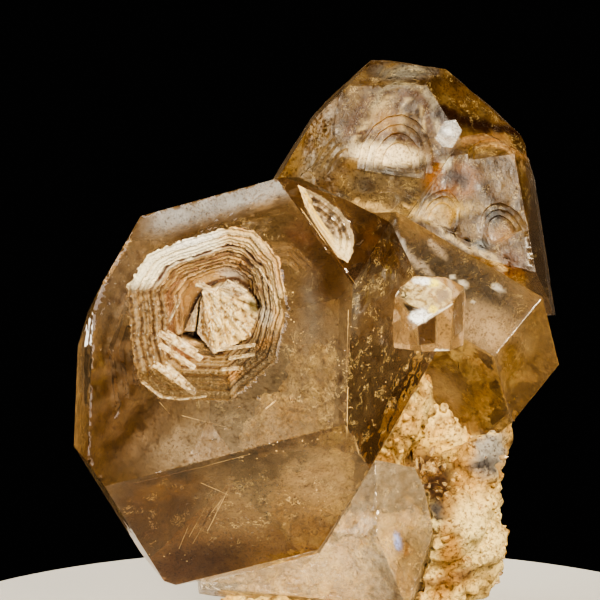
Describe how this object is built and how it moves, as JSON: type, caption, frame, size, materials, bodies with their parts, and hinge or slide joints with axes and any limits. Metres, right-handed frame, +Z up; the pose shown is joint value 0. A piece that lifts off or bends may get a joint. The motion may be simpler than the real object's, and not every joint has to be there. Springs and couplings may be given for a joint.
{
  "type": "smoky skeletal quartz cluster",
  "caption": "Cluster of stubby smoky quartz crystals with stepped skeletal hollows, grown on a rough tan matrix and standing on its broken base.",
  "frame": {"origin": "middle of the specimen's footprint box, on the plane of the broken base", "axes": "+Z up, -Y towards the side with the large stepped hollow, +X to that side's right"},
  "size_m": [0.054, 0.0533, 0.0647],
  "materials": {
    "smoky_quartz": "clear brown crystal with polished natural faces",
    "clear_quartz": "clear, nearly colourless crystal",
    "frosted_quartz": "cloudy grey-tan crystal, etched",
    "tan_druse": "rough granular crust"
  },
  "bodies": {
    "root": {"main_crystal": "smoky_quartz", "right_crystal": "smoky_quartz", "small_crystal": "clear_quartz", "lower_crystal": "frosted_quartz", "back_crystal": "frosted_quartz", "bead_crystal": "clear_quartz", "matrix": "tan_druse"}
  },
  "joints": []
}
